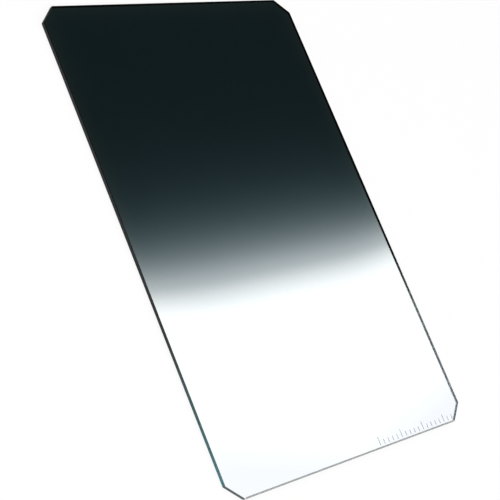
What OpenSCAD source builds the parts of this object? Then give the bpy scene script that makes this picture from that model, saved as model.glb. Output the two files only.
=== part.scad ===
// Graduated neutral density filter: one rectangular plate of cast optical resin.
// It lies flat: X runs across the plate, Y along it with the tinted end at +Y, and Z up.
// The origin is at the middle of the underside.

/* [Plate] */
// Width, which is the width of the holder's slot
plate_w = 100; // [60:1:180]
// Length along the slot
plate_l = 150; // [100:1:250]
// Thickness of the cast sheet
plate_t = 1.5; // [1:0.1:4]

/* [Edges] */
// How far each corner is cut back along both of its edges
corner_cut = 5; // [2:0.5:12]
// Set-back of the bevel that breaks every rim, on the face and on the wall alike
arris = 0.2; // [0.05:0.05:0.4]

/* [Tint] */
// Optical density that the eye sees at the tinted end
tint_density = 2; // [0.3:0.1:3]
// Share of the length that stays clear
clear_share = 0.34; // [0.1:0.02:0.7]
// Share of the tinted stretch in which most of the tint comes in, small for a hard edge
fade_share = 0.29; // [0.02:0.01:1]

/* [Hidden] */

// Number of steps in which the tint is coloured
tint_steps = 48;

// How far each step reaches into the one before, so that they stay one piece
step_lap = 0.01;

// How slowly the tint sets in: with a corner at 1, with a curve above 1
tint_onset = 1.56;

// How strongly the dye holds back red, green and blue, which gives the tint its cold cast
dye = [1.18, 1, 0.96];

// Colour and opacity of the resin where it has no tint
clear_colour = [0.96, 0.98, 1];
clear_alpha = 0.35;

// Exponent that turns light into screen colour
screen_gamma = 2.2;

// Each pair of cut corners lies this far apart, measured square to the cuts.
cut_w = (plate_w + plate_l - 2 * corner_cut) / sqrt(2);

// A sheet this long reaches past the plate in every direction.
reach = 2 * (plate_w + plate_l);

// Where the tint starts along Y, and the length of each step of it
tint_start = (clear_share - 1 / 2) * plate_l;
step_l = (plate_l / 2 - tint_start) / tint_steps;

// Density at share u of the tinted stretch: it rises ever more slowly to the full density.
function density_at(u) = tint_density * (1 - exp(-pow(u / fade_share, tint_onset)));

// Colour and opacity of the plate where its tint has density d
function tint(d) = [
    for (channel = [0 : 2]) clear_colour[channel] * pow(10, -d * dye[channel] / screen_gamma),
    1 - (1 - clear_alpha) * pow(10, -d),
];

// Cross-section of a sheet of width w, with a bevel on each of its four rims
module sheet_section(w) {
    side = w / 2;
    face = side - arris;
    polygon([
        [-face, 0], [face, 0], [side, arris], [side, plate_t - arris],
        [face, plate_t], [-face, plate_t], [-side, plate_t - arris], [-side, arris],
    ]);
}

// A long bevelled sheet of width w whose length runs along Y, turned about Z
module bevelled_sheet(w, turn) {
    rotate([90, 0, turn])
        linear_extrude(height = reach, center = true)
            sheet_section(w);
}

// Four sheets crossed over each other leave the plate: its sides, its ends and its two
// pairs of cut corners, with every bevel mitred into the next one.
module blank() {
    intersection() {
        bevelled_sheet(plate_w, 0);
        bevelled_sheet(plate_l, 90);
        bevelled_sheet(cut_w, 45);
        bevelled_sheet(cut_w, -45);
    }
}

// What the blank has between y0 and y1
module stretch_of_blank(y0, y1) {
    intersection() {
        blank();
        translate([-reach / 2, y0, -plate_t])
            cube([reach, y1 - y0, 3 * plate_t]);
    }
}

// The whole plate: one piece, whose colour deepens in steps towards the tinted end
module filter_plate() {
    color(tint(0))
        stretch_of_blank(-plate_l / 2, tint_start);
    for (i = [0 : tint_steps - 1]) {
        y = tint_start + i * step_l;
        color(tint(density_at((i + 1 / 2) / tint_steps)))
            stretch_of_blank(y - step_lap, y + step_l);
    }
}

filter_plate();
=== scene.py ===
# Graduated neutral density filter: a resin plate lying on a white studio table
import math

import bpy
import numpy as np
from mathutils import Matrix, Vector


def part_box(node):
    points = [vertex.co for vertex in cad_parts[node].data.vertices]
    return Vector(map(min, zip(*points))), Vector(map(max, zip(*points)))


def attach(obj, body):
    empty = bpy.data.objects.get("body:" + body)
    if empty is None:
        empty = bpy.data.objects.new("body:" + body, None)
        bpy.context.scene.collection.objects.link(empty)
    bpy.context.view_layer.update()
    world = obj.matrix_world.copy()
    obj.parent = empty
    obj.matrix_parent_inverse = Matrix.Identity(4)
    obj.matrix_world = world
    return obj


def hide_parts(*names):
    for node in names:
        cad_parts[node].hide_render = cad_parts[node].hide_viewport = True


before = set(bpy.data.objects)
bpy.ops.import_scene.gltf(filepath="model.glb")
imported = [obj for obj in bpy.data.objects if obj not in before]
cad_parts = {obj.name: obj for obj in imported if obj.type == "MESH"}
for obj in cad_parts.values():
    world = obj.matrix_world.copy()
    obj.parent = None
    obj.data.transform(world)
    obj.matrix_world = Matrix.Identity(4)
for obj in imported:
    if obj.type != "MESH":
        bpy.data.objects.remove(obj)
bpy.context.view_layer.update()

mm = 0.001  # lengths are in metres, written as so many mm, and patterns in materials are in plain mm

plateLow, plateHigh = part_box("filter_plate")
plateWidth, plateLength, plateThickness = plateHigh - plateLow
halfWidth, halfLength = plateWidth / mm / 2, plateLength / mm / 2  # in plain mm, for the materials
print(f"frame: a plate of {plateWidth / mm:.0f} x {plateLength / mm:.0f} x {plateThickness / mm:.1f} mm")


# Shader nodes

class Wire:
    # Holds a socket of a node tree: arithmetic on it adds Math nodes, and node() adds any other kind.
    def __init__(self, tree, socket=None):
        self.tree = tree
        self.socket = socket

    def node(self, kind, settings=(), inputs=(), output=0):
        made = self.tree.nodes.new(kind)
        for name, value in dict(settings).items():
            if name == "stops":
                self.setStops(made.color_ramp, value)
            else:
                setattr(made, name, value)
        for name, value in dict(inputs).items():
            if isinstance(value, Wire):
                self.tree.links.new(value.socket, made.inputs[name])
            else:
                made.inputs[name].default_value = value
        return Wire(self.tree, made.outputs[output] if made.outputs else None)

    def setStops(self, ramp, stops):
        while len(ramp.elements) < len(stops):
            ramp.elements.new(1)
        for element, (position, colour) in zip(ramp.elements, stops):
            element.position = position
            element.color = (*colour, 1)

    def output(self, name):  # another output of the same node
        return Wire(self.tree, self.socket.node.outputs[name])

    def maths(self, operation, *values):
        return self.node("ShaderNodeMath", {"operation": operation}, enumerate(values))

    def __add__(self, other):
        return self.maths("ADD", self, other)

    def __sub__(self, other):
        return self.maths("SUBTRACT", self, other)

    def __rsub__(self, other):
        return self.maths("SUBTRACT", other, self)

    def __mul__(self, other):
        return self.maths("MULTIPLY", self, other)

    def __truediv__(self, other):
        return self.maths("DIVIDE", self, other)

    def __pow__(self, other):
        return self.maths("POWER", self, other)

    def __rpow__(self, other):
        return self.maths("POWER", other, self)

    def __abs__(self):
        return self.maths("ABSOLUTE", self)

    __radd__ = __add__
    __rmul__ = __mul__

    def exp(self):
        return self.maths("EXPONENT", self)

    def atLeast(self, other):
        return self.maths("MAXIMUM", self, other)

    def atMost(self, other):
        return self.maths("MINIMUM", self, other)

    def smooth(self, low, high):  # 0 below low, 1 above high, and an S between them
        return self.node("ShaderNodeMapRange", {"interpolation_type": "SMOOTHSTEP"},
                         {"Value": self, "From Min": low, "From Max": high})


def newTree(owner):
    owner.use_nodes = True
    owner.node_tree.nodes.clear()
    return Wire(owner.node_tree)


def millimetres(nodes):
    # The piece's own coordinates, in millimetres, as a vector
    metres = nodes.node("ShaderNodeTexCoord", output="Object")
    return nodes.node("ShaderNodeVectorMath", {"operation": "SCALE"}, {0: metres, "Scale": 1 / mm})


def acrossAndAlong(place):
    x = place.node("ShaderNodeSeparateXYZ", (), {0: place})
    return x, x.output("Y")


def noise(nodes, place, size, detail=2, stretch=(1, 1, 1)):
    # Soft noise from 0 to 1 whose patches are about size mm across, drawn out by stretch
    scaled = nodes.node("ShaderNodeVectorMath", {"operation": "DIVIDE"},
                        {0: place, 1: [size * s for s in stretch]})
    return nodes.node("ShaderNodeTexNoise", (), {"Vector": scaled, "Scale": 1, "Detail": detail})


def multiplied(nodes, colour, factor):
    return nodes.node("ShaderNodeMix", {"data_type": "RGBA", "blend_type": "MULTIPLY"},
                      {0: 1, 6: colour, 7: factor}, output=2)


def blended(nodes, share, first, second):
    return nodes.node("ShaderNodeMix", {"data_type": "RGBA"}, {0: share, 6: first, 7: second}, output=2)


# Materials

tintLook = {
    "clearStretch": 49.88,  # mm from the clear end to the start of the tint
    "fade": 29.07,  # mm in which most of the tint comes in
    "onset": 1.678,  # above 1 the tint sets in with a curve
    "density": 2.018,  # at the tinted end
    "dipLine": (-15.29, 2.34, 0.035),  # Y and reach in mm, and density, of the soft line of the first dip
    "dyeFaint": (1.062, 1, 0.953),  # how strongly a little dye holds back red, green and blue
    "dyeDeep": (1.176, 1, 0.966),  # and how strongly the full dye does
    "lean": 0.37,  # mm by which the tint runs ahead at the +X side and behind at the other
    "edgeHurry": 0.121,  # how much more steeply it comes in at the long edges
    "hurryFrom": -1.04,  # Y in mm that this leaves in place
    "hurryWithin": 21.4,  # distance in mm from the middle at which this starts
    "rimFall": (0.055, 0.045, 0.015),  # share by which the tint's hold on each colour is lessened at the rim, which makes the rim lighter
    "rimFallReach": 4,  # mm
    "cloudiness": 0.012,  # unevenness of the density
    "cloudSize": 24,  # mm
}


def tintColour(nodes, place, x, y, toRim):
    # density = full * (1 - exp(-(u ** onset))) + line * exp(-(w ** 2))
    # where u = max(y - start, 0) / fade and w = (y - the line's place) / its reach
    # A colour channel passes 10 ** (-density * dye).
    start = tintLook["clearStretch"] - halfLength
    within = tintLook["hurryWithin"]
    hurry = ((abs(x) - within).atLeast(0) / (halfWidth - within)) ** 2 * tintLook["edgeHurry"]
    y = y + (y - tintLook["hurryFrom"]) * hurry + x * (tintLook["lean"] / halfWidth)
    u = (y - start).atLeast(0) / tintLook["fade"]
    rise = 1 - (u ** tintLook["onset"] * -1).exp()
    linePlace, lineReach, lineDensity = tintLook["dipLine"]
    w = (y - linePlace) / lineReach
    line = (w * w * -1).exp() * lineDensity
    clouds = 1 + (noise(nodes, place, tintLook["cloudSize"]) - 0.5) * (2 * tintLook["cloudiness"])
    density = (rise * tintLook["density"] + line) * clouds
    nearRim = (toRim * (-1 / tintLook["rimFallReach"])).exp()
    channels = []
    for faint, deep, fall in zip(tintLook["dyeFaint"], tintLook["dyeDeep"], tintLook["rimFall"]):
        dye = (faint + rise * (deep - faint)) * (1 - nearRim * fall)
        channels.append(10 ** (density * dye * -1))
    return nodes.node("ShaderNodeCombineColor", (), enumerate(channels))


resinLook = {
    "refraction": 1.498,
    "ownColour": (0.948, 0.995, 1, 1),  # the cast of the resin itself
    "endColour": (0.879, 0.910, 0.960, 1),  # and that beside the clear end
    "endReach": (7.3, 18.3),  # mm from the end over which that dies away
    "endSpread": 0.28,  # mm that are added for every mm from the nearer long side
    "endLean": 0.03,  # and for every mm towards +X, where it reaches less far
    "paintedRimLight": (0.0045, 0.0035, 0.0025, 1),  # painted light, standing for light from the table that gets in under the rim
    "paintedRimLightReach": 2,  # mm
    "roughness": (0.012, 0.03),  # where the polish is best and where it is least
    "polishPatch": 9,  # mm
    "ripple": 0.02,  # strength of the waviness left by the casting
    "rippleDepth": 0.1 * mm,
    "rippleSize": 18,  # mm
}


def distanceToCut(x, y):  # in mm, to the line of the nearest cut corner
    return (halfWidth + halfLength - plate["cornerCut"] / mm - abs(x) - abs(y)) / math.sqrt(2)


def distanceToRim(x, y):  # in mm, to the nearest of the sides, the ends and the cut corners
    return (halfWidth - abs(x)).atMost(halfLength - abs(y)).atMost(distanceToCut(x, y))


def resinMaterial():
    material = bpy.data.materials.new("graduatedResin")
    nodes = newTree(material)
    place = millimetres(nodes)
    x, y = acrossAndAlong(place)
    toRim = distanceToRim(x, y)
    tint = tintColour(nodes, place, x, y, toRim)
    fromEnd = (y + halfLength + (halfWidth - abs(x)) * resinLook["endSpread"]
               + x * resinLook["endLean"])
    cast = blended(nodes, fromEnd.smooth(*resinLook["endReach"]),
                   resinLook["endColour"], resinLook["ownColour"])
    colour = multiplied(nodes, tint, cast)
    # Painted light: a pale colour screened over the tint near the rim, for the table's light under it
    nearRim = (toRim * (-1 / resinLook["paintedRimLightReach"])).exp()
    colour = nodes.node("ShaderNodeMix", {"data_type": "RGBA", "blend_type": "SCREEN"},
                        {0: nearRim, 6: colour, 7: resinLook["paintedRimLight"]}, output=2)
    best, least = resinLook["roughness"]
    roughness = best + noise(nodes, place, resinLook["polishPatch"]) * (least - best)
    ripple = nodes.node("ShaderNodeBump", (), {
        "Strength": resinLook["ripple"], "Distance": resinLook["rippleDepth"],
        "Height": noise(nodes, place, resinLook["rippleSize"], detail=1)})
    shader = nodes.node("ShaderNodeBsdfPrincipled", (), {
        "Base Color": colour, "Roughness": roughness, "IOR": resinLook["refraction"],
        "Transmission Weight": 1, "Normal": ripple})
    nodes.node("ShaderNodeOutputMaterial", (), {"Surface": shader})
    return material


groundEdgeLook = {
    "nearPaintedLightStops": ((0.02, (0.084, 0.210, 0.240)),  # painted light and shade, with the tint's own darkness, of the -X edge, from the clear end
                  (0.16, (0.056, 0.120, 0.125)),
                  (0.23, (0.056, 0.083, 0.086)),
                  (0.31, (0.033, 0.035, 0.035)),
                  (0.45, (0.024, 0.027, 0.028))),  # from here to the tinted end
    "farPaintedLightStops": ((0.02, (0.335, 0.375, 0.395)),  # painted light and shade of the +X edge, painted paler than the -X edge
                 (0.16, (0.225, 0.250, 0.260)),
                 (0.25, (0.190, 0.215, 0.222)),
                 (0.31, (0.105, 0.112, 0.112)),
                 (0.375, (0.016, 0.017, 0.017))),
    "endPaintedLightStops": ((0.02, (0.200, 0.225, 0.235)),  # painted light and shade of the walls at the two ends
                 (0.90, (0.018, 0.020, 0.021))),
    "changeover": 2,  # mm either side of X = 0 over which nearPaintedLightStops give way to farPaintedLightStops
    "endReach": (0.35, 0.2),  # mm from the end at which the colour of the end walls starts and is full
    "sawnColour": (0.10, 0.115, 0.12, 1),  # of the cut corners, as far as they aren't tinted
    "sawnReach": (0.05, 0.35),  # mm from the cut over which that colour dies away
    "sawnPart": (0.1, 0.3),  # shares of the length over which it gives way to the tint
    "roughness": 0.55,
    "roughnessSpread": 0.2,
    "specular": 0.1,
    "grain": 0.35,  # mm between the marks of the cutter
    "grainStretch": (1, 1, 6),  # they run up and down the wall
    "grainContrast": 0.5,
    "grainStrength": 0.25,
    "grainDepth": 0.02 * mm,
}


def groundEdgeMaterial():
    material = bpy.data.materials.new("groundEdge")
    nodes = newTree(material)
    place = millimetres(nodes)
    x, y = acrossAndAlong(place)
    along = (y + halfLength) / (2 * halfLength)
    # The walls' colour is painted light and shade along the length, over the tint's own darkness towards the
    # tinted end
    near = nodes.node("ShaderNodeValToRGB", {"stops": groundEdgeLook["nearPaintedLightStops"]}, {0: along})
    far = nodes.node("ShaderNodeValToRGB", {"stops": groundEdgeLook["farPaintedLightStops"]}, {0: along})
    sawn = ((1 - distanceToCut(x, y).smooth(*groundEdgeLook["sawnReach"]))
            * (1 - along.smooth(*groundEdgeLook["sawnPart"])))
    near = blended(nodes, sawn, near, groundEdgeLook["sawnColour"])
    # Painted light: the +X wall is painted paler than the -X wall
    colour = blended(nodes, x.smooth(-groundEdgeLook["changeover"], groundEdgeLook["changeover"]), near, far)
    end = nodes.node("ShaderNodeValToRGB", {"stops": groundEdgeLook["endPaintedLightStops"]}, {0: along})
    colour = blended(nodes, abs(y).smooth(*(halfLength - reach for reach in groundEdgeLook["endReach"])),
                     colour, end)
    marks = noise(nodes, place, groundEdgeLook["grain"], detail=3, stretch=groundEdgeLook["grainStretch"])
    contrast = groundEdgeLook["grainContrast"]
    worn = multiplied(nodes, colour, 1 - contrast / 2 + marks * contrast)
    scratches = nodes.node("ShaderNodeBump", (), {
        "Strength": groundEdgeLook["grainStrength"], "Distance": groundEdgeLook["grainDepth"],
        "Height": marks})
    roughness = groundEdgeLook["roughness"] + (marks - 0.5) * groundEdgeLook["roughnessSpread"]
    shader = nodes.node("ShaderNodeBsdfPrincipled", (), {
        "Base Color": worn, "Roughness": roughness,
        "Specular IOR Level": groundEdgeLook["specular"], "Normal": scratches})
    nodes.node("ShaderNodeOutputMaterial", (), {"Surface": shader})
    return material


frostedLook = {
    "colour": (0.36, 0.37, 0.37, 1),
    "roughness": 0.6,
    "specular": 0.2,
    "grain": 0.2,  # mm
    "grainContrast": 0.4,
    "grainStrength": 0.3,
    "grainDepth": 0.01 * mm,
}


def frostedBevelMaterial():
    material = bpy.data.materials.new("frostedBevel")
    nodes = newTree(material)
    grain = noise(nodes, millimetres(nodes), frostedLook["grain"], detail=3)
    contrast = frostedLook["grainContrast"]
    colour = multiplied(nodes, frostedLook["colour"], 1 - contrast / 2 + grain * contrast)
    relief = nodes.node("ShaderNodeBump", (), {
        "Strength": frostedLook["grainStrength"], "Distance": frostedLook["grainDepth"], "Height": grain})
    shader = nodes.node("ShaderNodeBsdfPrincipled", (), {
        "Base Color": colour, "Roughness": frostedLook["roughness"],
        "Specular IOR Level": frostedLook["specular"], "Normal": relief})
    nodes.node("ShaderNodeOutputMaterial", (), {"Surface": shader})
    return material


# Surfaces

def bevelledPath(halfX, halfY, cut, radius, corners, steps):
    # A rectangle with its corners cut off at 45 degrees has eight sides, and side k faces 45 k degrees.
    # Returns the centres of the arcs that round its corners, and the directions from them to the path:
    # centre = where sides k and k + 1 would meet if both were moved in by radius
    # path = centre + radius * (cos a, sin a), with a from 45 k to 45 (k + 1) degrees
    eighth = math.pi / 4
    cutAway = (halfX + halfY - cut) / math.sqrt(2)
    away = np.array([halfX, cutAway, halfY, cutAway] * 2) - radius
    k = np.array(corners)
    first, second = k * eighth, (k + 1) * eighth
    near, far = away[k % 8], away[(k + 1) % 8]
    centres = np.stack([near * np.sin(second) - far * np.sin(first),
                        far * np.cos(first) - near * np.cos(second)], axis=1) / math.sin(eighth)
    angles = first[:, None] + np.linspace(0, eighth, steps + 1)
    directions = np.stack([np.cos(angles), np.sin(angles)], axis=2)
    return np.repeat(centres, steps + 1, axis=0), directions.reshape(-1, 2)


def slabSurface(shape, halfX, halfY, thickness):
    # A bevelled section carried round a bevelled outline, from the lower face over the wall to the upper:
    # point(u, v) = (centre(u) + (cornerRadius - inset(v)) * direction(u), height(v))
    centres, directions = bevelledPath(halfX, halfY, shape["cornerCut"], shape["cornerRadius"],
                                       range(8), shape["cornerSteps"])
    arcs, turns = bevelledPath(halfX, thickness / 2, shape["arris"], shape["arrisRadius"],
                               range(-2, 2), shape["arrisSteps"])
    section = arcs + shape["arrisRadius"] * turns
    inset = halfX - section[:, 0]
    height = section[:, 1] + thickness / 2
    inset = np.concatenate([[shape["faceMargin"]], inset, [shape["faceMargin"]]])
    height = np.concatenate([[0], height, [thickness]])
    flat = centres + (shape["cornerRadius"] - inset[:, None, None]) * directions
    return np.concatenate([flat, np.broadcast_to(height[:, None, None], (*flat.shape[:2], 1))], axis=2)


def slabFaces(rings, around, first=0):
    # Quads between each ring and the next, then the upper and the lower face as one polygon each
    v, u = np.meshgrid(np.arange(rings - 1), np.arange(around), indexing="ij")
    ring, after = v * around, (u + 1) % around
    quads = np.stack([ring + u, ring + after, ring + around + after, ring + around + u], axis=2)
    upper = np.arange(around) + (rings - 1) * around
    lower = np.arange(around)[::-1]
    return (quads.reshape(-1, 4) + first).tolist() + [(upper + first).tolist(), (lower + first).tolist()]


def newPiece(name, points, faces, materials):
    mesh = bpy.data.meshes.new(name)
    mesh.from_pydata(points.reshape(-1, 3).tolist(), [], faces)
    mesh.polygons.foreach_set("use_smooth", [True] * len(mesh.polygons))
    for material in materials:
        mesh.materials.append(material)
    piece = bpy.data.objects.new(name, mesh)
    bpy.context.scene.collection.objects.link(piece)
    return piece


# The plate

plate = {
    "cornerCut": 5 * mm,
    "cornerRadius": 0.5 * mm,
    "cornerSteps": 6,
    "arris": 0.2 * mm,
    "arrisRadius": 0.12 * mm,
    "arrisSteps": 4,
    "faceMargin": 0.45 * mm,  # ring of each face that keeps the flat faces' shading flat
    "bevelShare": 0.6,  # share of the upper bevel's height, from the top down, with the bevel's own finish
    "clearEnd": 6,  # the side that faces -Y
}


def makePlate():
    points = slabSurface(plate, plateWidth / 2, plateLength / 2, plateThickness)
    rings, around = points.shape[:2]
    materials = [resinMaterial(), groundEdgeMaterial(), frostedBevelMaterial()]
    resin, ground, frosted = range(3)
    piece = newPiece("graduatedPlate", points, slabFaces(rings, around), materials)
    # Each strip between two rings is polished, or ground below the upper bevel. That bevel is polished too,
    # apart from the clear end's, and each side takes half of the arcs at its ends.
    heights = (points[:-1, 0, 2] + points[1:, 0, 2]) / 2
    bevelFoot = plateThickness - plate["arris"] * plate["bevelShare"]
    slots = np.full((rings - 1, around), resin, dtype=np.int32)
    slots[(heights > 0) & (heights < bevelFoot)] = ground
    pointsPerCorner = plate["cornerSteps"] + 1
    side = (np.arange(around) + pointsPerCorner // 2 + 1) // pointsPerCorner
    slots[np.ix_((heights >= bevelFoot) & (heights < plateThickness), side == plate["clearEnd"])] = frosted
    slots = np.append(slots.ravel(), np.array([resin, resin], dtype=np.int32))  # the two faces come last
    piece.data.polygons.foreach_set("material_index", slots)
    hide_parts("filter_plate")
    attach(piece, "root")
    return piece


makePlate()
print("plate made")


# Index marks, a plain scale lasered into the underside beside the clear end

indexMarks = {
    "first": 11 * mm,  # X of the first mark
    "pitch": 2 * mm,
    "count": 18,
    "longEvery": 5,
    "fromEnd": 0.9 * mm,  # gap between the marks and the clear end
    "shortLength": 1.5 * mm,
    "longLength": 2.6 * mm,
    "width": 0.22 * mm,
    "depth": 0.02 * mm,  # how far below them the underside lies
    "thickness": 0.03 * mm,
    "cornerCut": 0.06 * mm,
    "cornerRadius": 0.05 * mm,
    "cornerSteps": 1,
    "arris": 0.008 * mm,
    "arrisRadius": 0.004 * mm,
    "arrisSteps": 1,
    "faceMargin": 0.02 * mm,
    "colour": (0.30, 0.31, 0.32, 1),
    "speckle": 0.12,  # mm
    "speckleContrast": 0.5,
    "roughness": 0.6,
    "roughnessSpread": 0.3,
}


def markMaterial():
    material = bpy.data.materials.new("laserMark")
    nodes = newTree(material)
    speckle = noise(nodes, millimetres(nodes), indexMarks["speckle"])
    contrast = indexMarks["speckleContrast"]
    shader = nodes.node("ShaderNodeBsdfPrincipled", (), {
        "Base Color": multiplied(nodes, indexMarks["colour"], 1 - contrast / 2 + speckle * contrast),
        "Roughness": indexMarks["roughness"] + speckle * indexMarks["roughnessSpread"]})
    nodes.node("ShaderNodeOutputMaterial", (), {"Surface": shader})
    return material


def makeIndexMarks():
    allPoints, allFaces = [], []
    for mark in range(indexMarks["count"]):
        length = indexMarks["longLength" if mark % indexMarks["longEvery"] == 0 else "shortLength"]
        points = slabSurface(indexMarks, indexMarks["width"] / 2, length / 2, indexMarks["thickness"])
        centre = (indexMarks["first"] + mark * indexMarks["pitch"],
                  -plateLength / 2 + indexMarks["fromEnd"] + length / 2, indexMarks["depth"])
        allFaces += slabFaces(*points.shape[:2], first=mark * points.shape[0] * points.shape[1])
        allPoints.append(points + np.array(centre))
    piece = newPiece("indexMarks", np.concatenate(allPoints), allFaces, [markMaterial()])
    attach(piece, "root")
    return piece


makeIndexMarks()
print("index marks made")


# Table, sky and lamps

studio = {
    "tableSize": 4.0,
    "tableGap": 0.1 * mm,  # the table lies this far under the plate, so that their faces don't fight
    "tableColour": (0.95, 0.95, 0.95, 1),
    "tableGlow": 0.86,  # share of plain white in what the camera sees of the table
    "throughPlate": 1.126,  # white behind the plate, which makes up for what its faces reflect
    "skyFill": 0.28,  # strength of the sky as it lights what isn't polished
    "skyHorizon": 0.72,  # what the polished faces mirror at the horizon
    "skyOverhead": 0.03,
    "skyTurn": 0.5,  # sine of the height at which the sky has gone dark
    "glowPlace": (-0.60, -0.55, 0.58),  # direction of the soft light that the faces mirror
    "glow": 1.1,
    "glowEdge": (0.80, 0.99),  # cosines of the angles from its middle at which it starts and is full
}


def makeTable():
    half = studio["tableSize"] / 2
    corners = np.array([(-half, -half), (half, -half), (half, half), (-half, half)])
    points = np.column_stack([corners, np.full(4, -studio["tableGap"])])
    material = bpy.data.materials.new("table")
    nodes = newTree(material)
    seen = nodes.node("ShaderNodeLightPath", output="Is Camera Ray")
    mirrored = seen.output("Is Glossy Ray")
    through = seen.output("Is Transmission Ray")
    paint = nodes.node("ShaderNodeBsdfDiffuse", (), {"Color": studio["tableColour"]})
    white = nodes.node("ShaderNodeEmission", (), {"Strength": 1 + through * (studio["throughPlate"] - 1)})
    share = (seen * studio["tableGlow"] + mirrored + through).atMost(1)
    mixed = nodes.node("ShaderNodeMixShader", (), {0: share, 1: paint, 2: white})
    nodes.node("ShaderNodeOutputMaterial", (), {"Surface": mixed})
    table = newPiece("table", points, [(0, 1, 2, 3)], [material])


def makeSky():
    world = bpy.data.worlds.new("sky")
    bpy.context.scene.world = world
    nodes = newTree(world)
    direction = nodes.node("ShaderNodeTexCoord", output="Generated")
    height = nodes.node("ShaderNodeSeparateXYZ", (), {0: direction}, output="Z")
    towardsGlow = nodes.node("ShaderNodeVectorMath", {"operation": "DOT_PRODUCT"},
                             {0: direction, 1: Vector(studio["glowPlace"]).normalized()}, output="Value")
    mirroredSky = (studio["skyHorizon"] + height.smooth(0, studio["skyTurn"])
                   * (studio["skyOverhead"] - studio["skyHorizon"])
                   + towardsGlow.smooth(*studio["glowEdge"]) * studio["glow"])
    seen = nodes.node("ShaderNodeLightPath", output="Is Camera Ray")
    mirrored = seen.output("Is Glossy Ray")
    plain = (seen + seen.output("Is Transmission Ray")).atMost(1)
    strength = plain + (1 - plain) * (mirrored * mirroredSky + (1 - mirrored) * studio["skyFill"])
    light = nodes.node("ShaderNodeBackground", (), {"Color": (1, 1, 1, 1), "Strength": strength})
    nodes.node("ShaderNodeOutputWorld", (), {"Surface": light})


softBoxes = {  # name: (place, width of its square front, power in watts)
    "key": ((-0.75, -0.55, 1.0), 0.7, 10),
    "fill": ((0.5, -0.9, 0.9), 0.8, 6),
    "back": ((0.1, 0.9, 1.2), 0.8, 6),
}


def makeSoftBox(name, place, size, power):
    lamp = bpy.data.lights.new(name, "AREA")
    lamp.size = size
    lamp.energy = power
    holder = bpy.data.objects.new(name, lamp)
    holder.location = place
    holder.visible_glossy = False  # the polished faces mirror the sky's soft glow instead of the lamps
    holder.rotation_mode = "QUATERNION"
    holder.rotation_quaternion = (-Vector(place)).to_track_quat("-Z", "Y")
    bpy.context.scene.collection.objects.link(holder)


makeTable()
makeSky()
for name, (place, size, power) in softBoxes.items():
    makeSoftBox(name, place, size, power)
print("studio made")


# Camera

photoCamera = {
    "lens": 97.92,  # mm, on a sensor 36 mm wide
    "target": (-7.486 * mm, -7.628 * mm, 0),
    "distance": 400.11 * mm,
    "azimuth": -73.680,  # degrees, 0 looks along +Y
    "elevation": 44.812,
    "roll": 56.046,  # degrees that the camera is turned clockwise about its own axis
}


def makeCamera():
    azimuth, elevation, roll = (math.radians(photoCamera[k]) for k in ("azimuth", "elevation", "roll"))
    back = Vector((math.sin(azimuth) * math.cos(elevation), -math.cos(azimuth) * math.cos(elevation),
                   math.sin(elevation)))
    data = bpy.data.cameras.new("photoCamera")
    data.lens = photoCamera["lens"]
    data.sensor_width = 36
    data.clip_start, data.clip_end = 0.01, 20
    camera = bpy.data.objects.new("photoCamera", data)
    level = (-back).to_track_quat("-Z", "Y").to_matrix()
    turned = level @ Matrix.Rotation(roll, 3, "Z")
    place = Vector(photoCamera["target"]) + back * photoCamera["distance"]
    camera.matrix_world = Matrix.Translation(place) @ turned.to_4x4()
    bpy.context.scene.collection.objects.link(camera)
    bpy.context.scene.camera = camera


makeCamera()
bpy.context.scene.view_settings.view_transform = "Standard"
print("camera set")
